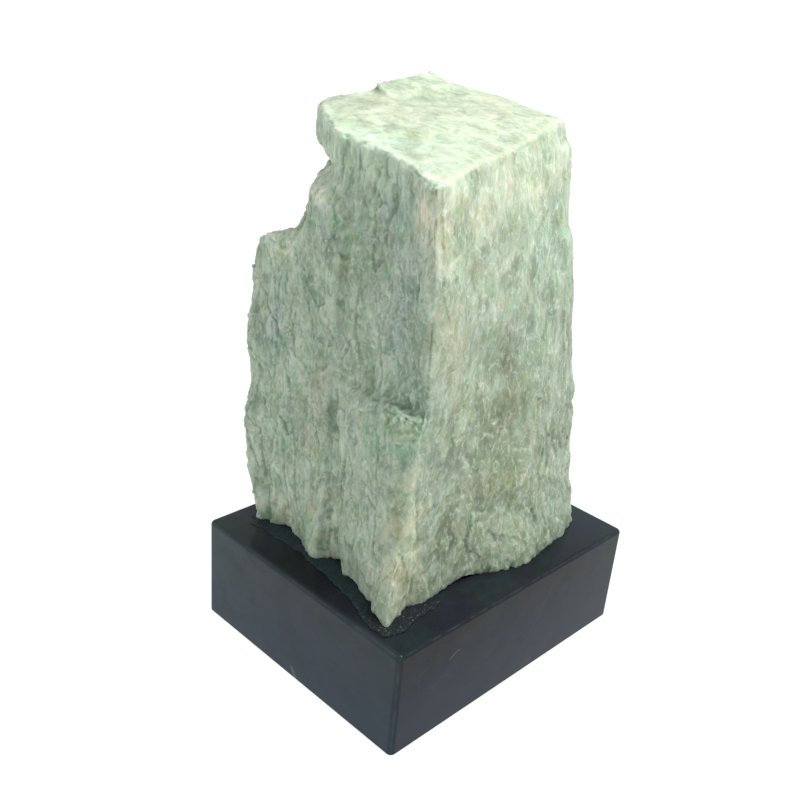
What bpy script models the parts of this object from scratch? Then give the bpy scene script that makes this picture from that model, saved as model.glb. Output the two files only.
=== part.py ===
"""A crystal of amazonite, split along its cleavage, bedded in black epoxy on a polished black marble block.

Metres, +Z up. The origin is the middle of the marble's underside. The marble's long side runs along X.
Plan outlines are in millimetres, anticlockwise seen from above, and become metres where a mesh is made.
"""

import bmesh
import bpy
from mathutils import Vector, noise

MM = 0.001
GAP = 0.3  # between pieces that touch, mm
TOLERANCE = 0.0001  # mm
SMOOTH_ANGLE = 0.6  # radians: a sharper edge is shaded flat

# Each material: its colour (linear) and its roughness
MARBLE = ("polished black marble", (0.012, 0.013, 0.015), 0.16)
EPOXY = ("black epoxy", (0.008, 0.009, 0.010), 0.38)
AMAZONITE = ("amazonite", (0.40, 0.52, 0.40), 0.55)

# Marble block, mm: a stock size of 3 x 2.5 x 1 inch
BLOCK_LENGTH = 76.2
BLOCK_WIDTH = 63.5
BLOCK_HEIGHT = 25.4
BLOCK_CORNER = 2.0  # rounding of the upright edges
BLOCK_ARRIS = 1.8  # rounding of the top edges
BLOCK_FOOT_ARRIS = 1.4  # rounding of the edges underneath

# Epoxy bed, mm
BED_THICKNESS = 1.0  # under the crystal
BEAD_WIDTH = 2.2  # the bead that was squeezed out
BEAD_HEIGHT = 1.6
BEAD_SLOPE = 0.6  # width of its sloping sides
# Plan of the bed: it stops short of the crystal's foot along most of the front, and shows past it elsewhere
BED_OUTLINE = (
    (-23.0, -19.6), (-4.0, -20.4), (8.0, -23.4), (14.0, -23.6), (20.0, -24.8), (29.0, -22.8),
    (32.6, -19.0), (33.0, 8.0), (28.0, 27.2),
    (-4.0, 27.6), (-30.2, 27.6), (-30.2, 24.0), (-29.6, 15.0), (-29.9, 4.0), (-31.4, -8.0),
    (-34.8, -20.0), (-34.8, -24.8), (-25.0, -24.4),
)
# Line of the bead, along the left end, round the splinter's point and back along the front
BEAD_LINE = (
    (-30.3, 25.0), (-29.8, 19.0), (-29.5, 14.0), (-29.6, 9.0), (-30.1, 3.6), (-30.7, -3.0), (-31.8, -9.4),
    (-33.6, -15.6), (-35.3, -20.8), (-35.4, -24.2), (-32.4, -25.2), (-28.2, -24.4), (-23.0, -23.8),
    (-18.2, -23.6),
)

# Crystal, mm. It is flaked in facets, which small chips shift.
CRYSTAL_FOOT = BLOCK_HEIGHT + GAP + BED_THICKNESS + GAP
FACET = 6.0  # length of one facet along a plan outline
COURSE = 8.0  # height of one row of facets
CHIP = 0.55  # how far chips shift a facet's corner
CHIP_ACROSS = 7.0  # width of a chip
CHIP_ALONG = 24.0  # its length, up the crystal
CHIP_OFFSET = (19.0, 7.0, 3.0)  # makes the shift along Y unlike the one along X
LID_RIM = 1.4  # width of the facets round a block's broken top

# A sloping flat top: its height over the origin, and its climb for each mm along X and along Y
TOP = (119.2, 0.084, 0.133)
RIDGE_FRONT = 14.5  # where along Y the ridge begins to leave the top
RIDGE_STEEPER = 0.17  # how much faster than the top it climbs along Y
RIDGE_TOP = (TOP[0] - RIDGE_STEEPER * RIDGE_FRONT, TOP[1], TOP[2] + RIDGE_STEEPER)

# The blocks that the crystal is grown together from. Each corner of a block's plan has three places: at
# the foot, at the waist, which stands at a share of the height, and at the top.
BLOCKS = {
    # the full-height column
    "column": {
        "foot": CRYSTAL_FOOT,
        "waist": 0.68,
        "top": TOP,
        "plan": {
            "front edge": ((-24.6, -20.5), (-25.8, -21.0), (-28.6, -20.8)),
            "front middle": ((-2.5, -21.6), (-1.0, -17.6), (-1.0, -14.6)),
            "front bulge": ((8.0, -25.4), (10.0, -16.6), (9.0, -12.0)),
            "front right": ((20.0, -23.6), (20.0, -15.2), (17.5, -9.6)),
            "right edge": ((31.0, -21.2), (28.4, -12.4), (23.9, -7.8)),
            "right side": ((31.0, 8.0), (26.5, 8.0), (22.0, 9.0)),
            "back edge": ((25.5, 25.0), (21.5, 27.0), (17.0, 25.8)),
            "back left": ((-12.0, 25.5), (-15.0, 23.5), (-14.0, 21.0)),
            "left end": ((-26.0, 8.0), (-26.5, 7.0), (-25.5, 5.0)),
            "left hollow": ((-25.0, -6.0), (-25.2, -8.0), (-24.4, -7.0)),
        },
    },
    # the overhanging end of the top, to the left of the column
    "crown": {
        "foot": 105.5,
        "waist": 0.45,
        "top": TOP,
        "plan": {
            "inner front": ((-21.0, 2.0), (-22.0, 0.0), (-22.5, -1.0)),
            "inner back": ((-2.0, 8.0), (0.0, 6.0), (2.0, 4.0)),
            "back": ((-1.0, 22.0), (0.0, 23.6), (2.0, 24.3)),
            "end back": ((-14.0, 18.5), (-18.2, 23.2), (-18.0, 23.4)),
            "end front": ((-24.0, 9.0), (-26.2, 8.2), (-26.3, 8.0)),
        },
    },
    # the low ridge along the back of the top
    "ridge": {
        "foot": 112.0,
        "waist": 0.5,
        "top": RIDGE_TOP,
        "plan": {
            "front left": ((-5.0, 12.0), (-4.5, 13.0), (-3.0, 14.5)),
            "front right": ((17.0, 12.0), (16.5, 13.0), (15.5, 14.5)),
            "back right": ((18.5, 24.0), (17.5, 25.0), (16.0, 24.6)),
            "back left": ((-4.0, 24.0), (-3.5, 24.2), (-2.0, 23.6)),
        },
    },
    # the step between the crown and the shoulder
    "step": {
        "foot": 60.0,
        "waist": 0.7,
        "top": (111.5, 0.14, 0.0),
        "plan": {
            "inner front": ((-22.0, 2.0), (-22.0, 2.0), (-22.0, 4.0)),
            "inner back": ((5.0, 10.0), (5.0, 10.0), (0.0, 10.0)),
            "back": ((5.0, 27.0), (5.0, 26.5), (0.0, 23.0)),
            "end back": ((-18.0, 26.5), (-17.0, 24.0), (-17.0, 21.0)),
            "end": ((-27.2, 18.5), (-27.0, 17.0), (-26.6, 15.2)),
            "end front": ((-27.6, 6.0), (-27.3, 5.0), (-26.6, 4.5)),
        },
    },
    # the low, wide shoulder at the left end
    "shoulder": {
        "foot": CRYSTAL_FOOT,
        "waist": 0.2,
        "top": (107.2, 0.0, -0.56),
        "plan": {
            "inner front": ((-20.0, 0.0), (-20.0, 0.0), (-20.0, 2.0)),
            "inner back": ((16.0, 5.0), (16.0, 5.0), (12.0, 8.0)),
            "back": ((20.0, 25.5), (17.0, 29.5), (13.0, 27.5)),
            "end back": ((-18.0, 26.0), (-19.0, 31.0), (-18.5, 30.0)),
            "end": ((-28.6, 25.9), (-28.8, 31.1), (-28.0, 30.4)),
            "end front": ((-25.8, 17.0), (-28.3, 18.0), (-28.0, 17.0)),
            "front": ((-28.2, 5.0), (-27.8, 5.0), (-27.4, 4.0)),
        },
    },
    # the slab that stands proud of the lower part of the left face, at the front
    "slab": {
        "foot": CRYSTAL_FOOT,
        "waist": 0.8,
        "top": (67.0, 0.0, -0.27),
        "plan": {
            "inner front": ((-18.0, -19.0), (-18.0, -19.0), (-18.0, -19.0)),
            "inner back": ((-18.0, 0.0), (-18.0, 0.0), (-18.0, 0.0)),
            "left": ((-25.6, -0.6), (-27.0, 1.0), (-27.0, 2.0)),
            "proud left": ((-28.4, -4.6), (-29.4, -3.0), (-28.2, -1.5)),
            "proud front": ((-30.4, -14.6), (-30.0, -17.0), (-28.4, -18.0)),
            "front edge": ((-28.0, -21.0), (-28.0, -21.6), (-26.2, -21.8)),
            "front face": ((-20.0, -19.0), (-20.0, -19.0), (-20.0, -19.4)),
        },
    },
    # the splinter at the front corner, running down to a point
    "splinter": {
        "foot": CRYSTAL_FOOT,
        "waist": 0.5,
        "top": (56.0, 0.0, 0.0),
        "plan": {
            "inner": ((-23.5, -18.5), (-24.0, -18.5), (-25.0, -18.8)),
            "left": ((-31.4, -16.2), (-28.8, -16.5), (-27.6, -18.0)),
            "left of the point": ((-32.6, -19.6), (-29.8, -19.4), (-27.9, -19.4)),
            "point": ((-33.2, -22.8), (-29.9, -22.0), (-27.8, -20.6)),
            "right": ((-26.4, -21.8), (-26.0, -21.8), (-26.0, -20.6)),
        },
    },
}


def stone_material(name, colour, roughness):
    material = bpy.data.materials.new(name)
    material.use_nodes = True
    shader = material.node_tree.nodes["Principled BSDF"]
    shader.inputs["Base Color"].default_value = (*colour, 1.0)
    shader.inputs["Roughness"].default_value = roughness
    shader.inputs["Metallic"].default_value = 0.0
    material.diffuse_color = (*colour, 1.0)
    return material


def place(name, bm):
    """Makes the bmesh, which is in millimetres, an object in metres."""
    bmesh.ops.recalc_face_normals(bm, faces=bm.faces)
    bmesh.ops.scale(bm, vec=(MM, MM, MM), verts=bm.verts)
    mesh = bpy.data.meshes.new(name)
    bm.to_mesh(mesh)
    bm.free()
    piece = bpy.data.objects.new(name, mesh)
    bpy.context.scene.collection.objects.link(piece)
    return piece


def loop_of_edges(bm, points):
    verts = [bm.verts.new(point) for point in points]
    return [bm.edges.new((a, b)) for a, b in zip(verts, verts[1:] + verts[:1])]


def outline_at(block, share):
    """The plan's corners at a share of the height, between the foot, waist and top outlines."""
    waist = block["waist"]
    if share <= waist:
        low, high, between = 0, 1, share / waist
    else:
        low, high, between = 1, 2, (share - waist) / (1.0 - waist)
    return [Vector(c[low]).lerp(Vector(c[high]), between) for c in block["plan"].values()]


def next_round(items):
    return items[1:] + items[:1]


def facets_along(outline):
    """How many facets fit along each side of an outline."""
    return [max(1, round((b - a).length / FACET)) for a, b in zip(outline, next_round(outline))]


def walk(outline, counts):
    """The outline with points put in between, so that each side has its count of facets."""
    sides = zip(outline, next_round(outline), counts)
    return [a.lerp(b, i / n) for a, b, n in sides for i in range(n)]


def top_height(block, spot):
    middle, rise_x, rise_y = block["top"]
    return middle + rise_x * spot.x + rise_y * spot.y


def chip(point):
    """How far a chip shifts a corner of a facet: the stone splits in flakes that are long up it."""
    sample = Vector((point.x / CHIP_ACROSS, point.y / CHIP_ACROSS, point.z / CHIP_ALONG))
    along_x, along_y = noise.noise(sample), noise.noise(sample + Vector(CHIP_OFFSET))
    return Vector((along_x, along_y, 0.0)) * CHIP


def row_of_points(block, share, counts, tops):
    spots = walk(outline_at(block, share), counts)
    foot = block["foot"]
    points = [Vector((s.x, s.y, foot + share * (top - foot))) for s, top in zip(spots, tops)]
    return [point + chip(point) for point in points] if share else points


def cleavage_block(name, block):
    counts = facets_along(outline_at(block, 0.0))
    tops = [top_height(block, spot) for spot in walk(outline_at(block, 1.0), counts)]
    courses = max(2, round((max(tops) - block["foot"]) / COURSE))
    rows = [row_of_points(block, i / courses, counts, tops) for i in range(courses + 1)]
    bm = bmesh.new()
    loops = [loop_of_edges(bm, row) for row in rows]
    for lower, upper in zip(loops, loops[1:]):
        bmesh.ops.bridge_loops(bm, edges=lower + upper)
    bmesh.ops.edgeloop_fill(bm, edges=loops[0])
    lid = bmesh.ops.edgeloop_fill(bm, edges=loops[-1])["faces"]
    break_lid(bm, lid)
    return place(name, bm)


def break_lid(bm, lid):
    """Turns a block's flat lid into a shallow broken surface."""
    bmesh.ops.inset_region(bm, faces=lid, thickness=LID_RIM, depth=0.0)
    poked = bmesh.ops.poke(bm, faces=lid)
    bmesh.ops.translate(bm, vec=(0, 0, CHIP), verts=poked["verts"])


def join(first, others):
    """Makes the first piece one solid with the others."""
    for other in others:
        union = first.modifiers.new(other.name, "BOOLEAN")
        union.operation = "UNION"
        union.solver = "EXACT"
        union.object = other
        other.hide_render = True
        other.display_type = "WIRE"
    return first


def amazonite_crystal():
    crystal, *others = [cleavage_block(name, block) for name, block in BLOCKS.items()]
    crystal.name = "amazonite_crystal"
    return join(crystal, others)


def slab_over(bm, outline, height):
    """A flat-topped slab of that height on an outline at the bed's underside; gives its top face."""
    edges = loop_of_edges(bm, [(x, y, BLOCK_HEIGHT + GAP) for x, y in outline])
    under = bmesh.ops.edgeloop_fill(bm, edges=edges)["faces"]
    raised = bmesh.ops.extrude_face_region(bm, geom=under)["geom"]
    corners = [item for item in raised if isinstance(item, bmesh.types.BMVert)]
    bmesh.ops.translate(bm, vec=(0, 0, height), verts=corners)
    bmesh.ops.recalc_face_normals(bm, faces=bm.faces)
    return [item for item in raised if isinstance(item, bmesh.types.BMFace)]


def outline_of_strip(line, width):
    """The outline of a strip of that width along a line."""
    points = [Vector(point) for point in line]
    before = points[:1] + points[:-1]
    after = points[1:] + points[-1:]
    along = [(b - a).normalized() for a, b in zip(before, after)]
    aside = [Vector((-d.y, d.x)) * width / 2 for d in along]
    one_side = [p + a for p, a in zip(points, aside)]
    other_side = [p - a for p, a in zip(points, aside)]
    return one_side + other_side[::-1]


def squeezed_bead():
    bm = bmesh.new()
    top = slab_over(bm, outline_of_strip(BEAD_LINE, BEAD_WIDTH), BEAD_HEIGHT)
    edges = [edge for face in top for edge in face.edges]
    round_edges(bm, edges, BEAD_SLOPE, 2)
    return place("squeezed_bead", bm)


def epoxy_bed():
    bm = bmesh.new()
    slab_over(bm, BED_OUTLINE, BED_THICKNESS)
    return join(place("epoxy_bed", bm), [squeezed_bead()])


def upright_edges(bm):
    return [e for e in bm.edges if abs(e.verts[0].co.z - e.verts[1].co.z) > BLOCK_HEIGHT / 2]


def level_edges(bm, height):
    return [e for e in bm.edges if all(abs(v.co.z - height) < TOLERANCE for v in e.verts)]


def round_edges(bm, edges, radius, segments):
    bmesh.ops.bevel(bm, geom=edges, offset=radius, segments=segments, profile=0.5, affect="EDGES")


def marble_base():
    bm = bmesh.new()
    bmesh.ops.create_cube(bm, size=1.0)
    bmesh.ops.scale(bm, vec=(BLOCK_LENGTH, BLOCK_WIDTH, BLOCK_HEIGHT), verts=bm.verts)
    bmesh.ops.translate(bm, vec=(0, 0, BLOCK_HEIGHT / 2), verts=bm.verts)
    round_edges(bm, upright_edges(bm), BLOCK_CORNER, 4)
    round_edges(bm, level_edges(bm, BLOCK_HEIGHT), BLOCK_ARRIS, 4)
    round_edges(bm, level_edges(bm, 0.0), BLOCK_FOOT_ARRIS, 3)
    base = place("marble_base", bm)
    base.data.shade_smooth()
    base.data.set_sharp_from_angle(angle=SMOOTH_ANGLE)
    return base


def main():
    for old in list(bpy.data.objects):
        bpy.data.objects.remove(old)
    for piece, material in ((marble_base(), MARBLE), (epoxy_bed(), EPOXY), (amazonite_crystal(), AMAZONITE)):
        piece.data.materials.append(stone_material(*material))


main()
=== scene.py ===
from math import radians

import bmesh
import bpy
import numpy as np
from mathutils import Matrix, Vector, noise


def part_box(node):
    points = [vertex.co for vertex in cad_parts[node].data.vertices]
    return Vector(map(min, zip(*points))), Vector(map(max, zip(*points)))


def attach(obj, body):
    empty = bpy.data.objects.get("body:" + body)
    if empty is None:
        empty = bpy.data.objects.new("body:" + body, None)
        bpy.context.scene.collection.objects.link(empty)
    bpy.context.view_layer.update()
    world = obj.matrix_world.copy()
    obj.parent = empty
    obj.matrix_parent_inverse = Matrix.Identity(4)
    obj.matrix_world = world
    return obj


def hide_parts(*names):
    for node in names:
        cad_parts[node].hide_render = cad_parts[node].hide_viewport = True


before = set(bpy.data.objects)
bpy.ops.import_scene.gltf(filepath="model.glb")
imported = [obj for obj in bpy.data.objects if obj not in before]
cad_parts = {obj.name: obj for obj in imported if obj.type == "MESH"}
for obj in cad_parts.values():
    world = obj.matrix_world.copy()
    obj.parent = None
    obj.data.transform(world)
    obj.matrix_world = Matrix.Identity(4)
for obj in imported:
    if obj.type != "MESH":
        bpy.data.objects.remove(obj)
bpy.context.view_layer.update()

mm = 0.001  # the sizes and places below are in mm
mergeGap = 0.0005 * mm


def newObject(name, data):
    thing = bpy.data.objects.new(name, data)
    bpy.context.scene.collection.objects.link(thing)
    return thing


def bmeshToObject(name, bm):
    mesh = bpy.data.meshes.new(name)
    bm.to_mesh(mesh)
    bm.free()
    return newObject(name, mesh)


def mergedCopy(name, node):  # a CAD node's mesh is loose triangles, so its copy is merged first
    bm = bmesh.new()
    bm.from_mesh(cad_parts[node].data)
    bmesh.ops.remove_doubles(bm, verts=bm.verts, dist=mergeGap)
    return bmeshToObject(name, bm)


def addModifier(piece, kind, **settings):
    modifier = piece.modifiers.new(kind.title(), kind)
    for name, value in settings.items():
        setattr(modifier, name, value)


def applyModifiers(piece):
    evaluated = piece.evaluated_get(bpy.context.evaluated_depsgraph_get())
    mesh = bpy.data.meshes.new_from_object(evaluated)
    piece.modifiers.clear()
    piece.data = mesh
    mesh.name = piece.name


def readPlaces(mesh):  # corner places in mm, one row each
    places = np.empty(len(mesh.vertices) * 3)
    mesh.vertices.foreach_get("co", places)
    return places.reshape(-1, 3) / mm


def writePlaces(mesh, places):
    mesh.vertices.foreach_set("co", (places * mm).ravel())
    mesh.update()


def readNormals(mesh):
    normals = np.empty(len(mesh.vertices) * 3)
    mesh.vertex_normals.foreach_get("vector", normals)
    return normals.reshape(-1, 3)


def smoothedPlaces(piece, passes):  # where smoothing would put the corners; the piece stays as it is
    addModifier(piece, "SMOOTH", factor=0.5, iterations=passes)
    places = readPlaces(piece.evaluated_get(bpy.context.evaluated_depsgraph_get()).data)
    piece.modifiers.clear()
    return places


def writeAttribute(mesh, name, values):
    attribute = mesh.attributes.new(name, "FLOAT", "POINT")
    attribute.data.foreach_set("value", values.astype(np.float32))


def smoothStep(values, low, high):
    share = np.clip((values - low) / (high - low), 0.0, 1.0)
    return share * share * (3.0 - 2.0 * share)


def noiseAt(places, size, octaves=1):  # one value for each place, about -1 to 1; size is in mm
    spots = (places / np.array(size)).tolist()
    if octaves == 1:
        return np.array([noise.noise(spot) for spot in spots])
    return np.array([noise.fractal(spot, 1.0, 2.0, octaves) for spot in spots])  # each half as large and strong


def nearness(places, line, width):  # 1 on the line, fading out over its width, and thinner at its ends
    thinEnd = 0.45  # as a share of the middle
    points = [np.array(point) for point in line]
    total = sum(np.linalg.norm(b - a) for a, b in zip(points, points[1:]))
    best = np.zeros(len(places))
    done = 0.0
    for a, b in zip(points, points[1:]):
        run = b - a
        length = np.linalg.norm(run)
        share = np.clip((places - a) @ run / length ** 2, 0.0, 1.0)
        away = np.linalg.norm(places - a - share[:, None] * run, axis=1)
        taper = thinEnd + (1.0 - thinEnd) * np.sin(np.pi * (done + share * length) / total)
        best = np.maximum(best, np.exp(-(away / (width * taper)) ** 2) * taper)
        done += length
    return best


def linear(hexColour):  # from sRGB
    channels = [int(hexColour[i:i + 2], 16) / 255 for i in (1, 3, 5)]
    return [c / 12.92 if c <= 0.04045 else ((c + 0.055) / 1.055) ** 2.4 for c in channels] + [1.0]


def addNode(tree, kind, inputs, **settings):
    node = tree.nodes.new("ShaderNode" + kind)
    for name, value in settings.items():
        setattr(node, name, value)
    for socket, value in inputs.items():
        if isinstance(value, bpy.types.NodeSocket):
            tree.links.new(value, node.inputs[socket])
        else:
            node.inputs[socket].default_value = value
    return node


def newMaterial(name):
    material = bpy.data.materials.new(name)
    material.use_nodes = True
    material.node_tree.nodes.remove(material.node_tree.nodes["Principled BSDF"])
    return material, material.node_tree


def finishMaterial(material, shader):
    tree = material.node_tree
    tree.links.new(shader.outputs[0], tree.nodes["Material Output"].inputs["Surface"])
    return material


def paintBody(tree, signals, body, layers):  # lays on one colour after the other, each by its pattern
    for layer in layers:  # 6 and 7 are the two colours that a Mix node mixes
        amount = addNode(tree, "MapRange", {
            "Value": signals[layer["by"]], "From Min": layer["low"], "From Max": layer["high"],
            "To Min": 0.0, "To Max": layer["amount"],
        }).outputs[0]
        if "within" in layer:
            amount = addNode(tree, "Math", {0: amount, 1: signals[layer["within"]]},
                             operation="MULTIPLY").outputs[0]
        body = addNode(tree, "Mix", {0: amount, 6: body, 7: linear(layer["colour"])}, data_type="RGBA",
                       blend_type=layer.get("blend", "MIX")).outputs[2]
    return body


def patternSignals(tree, place, patterns):  # cloudy patterns with patches of the sizes given, in mm
    signals = {}
    for name, pattern in patterns.items():
        scale = tuple(1.0 / (size * mm) for size in pattern["size"])
        spot = addNode(tree, "Mapping", {"Vector": place, "Scale": scale}).outputs[0]
        signals[name] = addNode(tree, "TexNoise", {
            "Vector": spot, "Scale": 1.0, "Detail": pattern["detail"], "Roughness": pattern["rough"],
            "Distortion": pattern["twist"],
        }).outputs[0]
    return signals


cameraView = {
    "place": (-154.7, -135.7, 154.0),
    "heading": -46.68,
    "tilt": 64.87,  # from straight down
    "roll": 4.98,
    "lens": 45.54,
    "film": 36.0,  # how wide the film is
    "nearest": 10.0,
    "farthest": 40000.0,
}

studio = {
    "floorSize": 9000.0,
    "floorSides": 96,
    "floorColour": "#4a4a4a",
    "floorGlow": 0.98,  # a lit white table: almost no shadow shows on it
    "floorRoughness": (0.55, 0.65),
    "floorPatch": 9000.0,  # it changes slowly
    "light": "#ffffff",
    "roomLight": 0.72,
}

# Softboxes: where each stands and aims, its width and its power
lamps = {
    "softbox": {"place": (38.0, -68.0, 256.0), "aim": (0.0, -5.0, 90.0), "size": 110.0, "power": 0.56},
    "fill": {"place": (-420.0, 40.0, 150.0), "aim": (0.0, 0.0, 70.0), "size": 300.0, "power": 0.13},
}


def makeCamera():
    data = bpy.data.cameras.new("camera")
    data.sensor_width = cameraView["film"]
    data.lens = cameraView["lens"]
    data.clip_start = cameraView["nearest"] * mm
    data.clip_end = cameraView["farthest"] * mm
    camera = newObject("camera", data)
    turn = Matrix.Rotation(radians(cameraView["heading"]), 4, "Z")
    tilt = Matrix.Rotation(radians(cameraView["tilt"]), 4, "X")
    roll = Matrix.Rotation(radians(cameraView["roll"]), 4, "Z")
    camera.matrix_world = Matrix.Translation(Vector(cameraView["place"]) * mm) @ turn @ tilt @ roll
    bpy.context.scene.camera = camera
    print("camera: placed")


def makeStudio():
    world = bpy.data.worlds.new("room")
    world.use_nodes = True
    background = world.node_tree.nodes["Background"].inputs
    background["Color"].default_value = linear(studio["light"])
    background["Strength"].default_value = studio["roomLight"]
    bpy.context.scene.world = world
    bpy.context.scene.view_settings.view_transform = "Standard"
    for name, lamp in lamps.items():
        light = bpy.data.lights.new(name, "AREA")
        light.shape = "DISK"
        light.size = lamp["size"] * mm
        light.energy = lamp["power"]
        place, aim = Vector(lamp["place"]) * mm, Vector(lamp["aim"]) * mm
        turn = (place - aim).to_track_quat("Z", "Y").to_matrix().to_4x4()
        newObject(name, light).matrix_world = Matrix.Translation(place) @ turn
    print("studio: room and softboxes lit")


# Matt white acrylic sheet, lit from below as well: an even white, with hardly a shadow on it
def whiteTable():
    material, tree = newMaterial("white acrylic table")
    place = addNode(tree, "TexCoord", {}).outputs["Object"]
    cloud = addNode(tree, "TexNoise", {"Vector": place, "Scale": 1 / (studio["floorPatch"] * mm)})
    low, high = studio["floorRoughness"]
    gloss = addNode(tree, "MapRange", {"Value": cloud.outputs[0], "To Min": low, "To Max": high})
    shader = addNode(tree, "BsdfPrincipled", {
        "Base Color": linear(studio["floorColour"]), "Roughness": gloss.outputs[0],
        "Emission Color": linear(studio["light"]), "Emission Strength": studio["floorGlow"],
    })
    return finishMaterial(material, shader)


def makeFloor():
    bm = bmesh.new()
    bmesh.ops.create_circle(bm, cap_ends=True, segments=studio["floorSides"],
                            radius=studio["floorSize"] * mm)
    floor = bmeshToObject("floor", bm)
    floor.data.materials.append(whiteTable())
    print("floor: laid")


marble = {
    "cornerRadius": 1.3,
    "cornerSteps": 8,
    "topRadius": 1.0,
    "topSteps": 8,
    "footRadius": 0.5,
    "footSteps": 4,
    "black": "#1b1e22",
    "roughness": (0.08, 0.2),  # from one patch of the polish to another
    "reflection": 0.12,
    "waveHeight": 0.25,
    "waveStrength": 0.5,
    "veinSpacing": 34.0,
    "veinWidth": 0.012,  # as a share of the spacing
    "veinBend": 30.0,  # how far the veins wander, and over what distance
    "veinBendPatch": 20.0,
}

# Pale scuffs on its sides: from where to where, how wide and how strong
scuffs = {
    "right side": {"line": ((-22.6, -31.75, 17.4), (-20.4, -31.75, 18.6)), "width": 0.35, "amount": 0.4},
    "right side, end": {"line": ((-20.4, -31.75, 18.6), (-19.7, -31.75, 18.2)), "width": 0.3, "amount": 0.3},
    "left side, foot": {"line": ((-38.1, 0.2, 2.4), (-38.1, -1.2, 0.6)), "width": 0.8, "amount": 0.5},
}

# Slow changes of colour over the block: along which way, and between which two places in mm. Side, left, far
# and right are painted reflection: a dark band under the top edge, and lighter sides and ends where the
# polished block reflects more of the room
marbleFades = {
    "low": {"axis": "Z", "from": 23.0, "to": 8.0},
    "side": {"axis": "Z", "from": 24.8, "to": 23.6},
    "left": {"axis": "X", "from": -36.6, "to": -38.0},
    "far": {"axis": "Y", "from": 8.0, "to": 31.0},
    "right": {"axis": "X", "from": 16.0, "to": 37.0},
}

marblePatterns = {
    "patches": {"size": (16.0, 16.0, 11.0), "detail": 4.0, "rough": 0.6, "twist": 0.8},
    "clouds": {"size": (7.0, 7.0, 5.0), "detail": 5.0, "rough": 0.6, "twist": 0.4},
    "grit": {"size": (0.5, 0.5, 0.5), "detail": 2.0, "rough": 0.7, "twist": 0.0},
    "veinPlaces": {"size": (30.0, 30.0, 22.0), "detail": 1.0, "rough": 0.5, "twist": 0.0},
    "polish": {"size": (9.0, 9.0, 9.0), "detail": 1.0, "rough": 0.4, "twist": 0.0},
    "chafeAndSheen": {"size": (4.0, 4.0, 4.0), "detail": 6.0, "rough": 0.7, "twist": 0.0},
}

# Patterns that only show in patches: where they begin to show, and where they show fully
marblePatchy = {"veinPlaces": (0.5, 0.62), "chafeAndSheen": (0.4, 0.65)}

marbleLayers = (
    # painted reflection: a dark band on the sides just under the top edge
    {"by": "side", "low": 0.0, "high": 1.0, "amount": 0.8, "colour": "#17191b"},
    {"by": "left", "low": 0.0, "high": 1.0, "amount": 0.9, "colour": "#353e43"},  # painted reflection: lighter, for the light this side reflects
    # painted reflection: lighter towards the far end and the right end
    {"by": "far", "low": 0.0, "high": 1.0, "amount": 0.8, "colour": "#3c4949"},
    {"by": "right", "low": 0.0, "high": 1.0, "amount": 0.6, "colour": "#2a3638"},
    {"by": "patches", "low": 0.5, "high": 0.75, "amount": 0.5, "colour": "#222438"},  # bluish purple
    {"by": "patches", "low": 0.5, "high": 0.28, "amount": 0.5, "colour": "#1d2e2e"},  # teal
    {"by": "low", "low": 0.0, "high": 1.0, "amount": 0.45, "colour": "#203245"},
    {"by": "clouds", "low": 0.5, "high": 0.7, "amount": 0.5, "colour": "#242c31"},
    {"by": "grit", "low": 0.6, "high": 0.75, "amount": 0.4, "colour": "#30363a"},
    {"by": "veins", "low": 0.0, "high": 1.0, "amount": 0.12, "colour": "#4c5a5a", "within": "veinPlaces"},
    # the rounded edges lighter in patches: partly chafing, partly a painted highlight
    {"by": "arris", "low": 0.1, "high": 0.28, "amount": 0.35, "colour": "#555c5b", "within": "chafeAndSheen"},
    {"by": "scuffed", "low": 0.0, "high": 1.0, "amount": 1.0, "colour": "#6b7271"},
)


def scuffPattern(tree, place):  # how strongly each spot is scuffed
    whole = 0.0
    for scuff in scuffs.values():
        start, end = (Vector(point) * mm for point in scuff["line"])
        run = end - start
        away = addNode(tree, "VectorMath", {0: place, 1: start}, operation="SUBTRACT").outputs[0]
        along = addNode(tree, "VectorMath", {0: away, 1: run / run.length_squared},
                        operation="DOT_PRODUCT").outputs["Value"]
        share = addNode(tree, "Clamp", {"Value": along}).outputs[0]
        foot = addNode(tree, "VectorMath", {0: run, 3: share}, operation="SCALE").outputs[0]
        gap = addNode(tree, "VectorMath", {0: away, 1: foot}, operation="DISTANCE").outputs["Value"]
        strength = addNode(tree, "MapRange", {
            "Value": gap, "From Max": scuff["width"] * mm, "To Min": scuff["amount"], "To Max": 0.0,
        }).outputs[0]
        whole = addNode(tree, "Math", {0: whole, 1: strength}, operation="MAXIMUM").outputs[0]
    return whole


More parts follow.
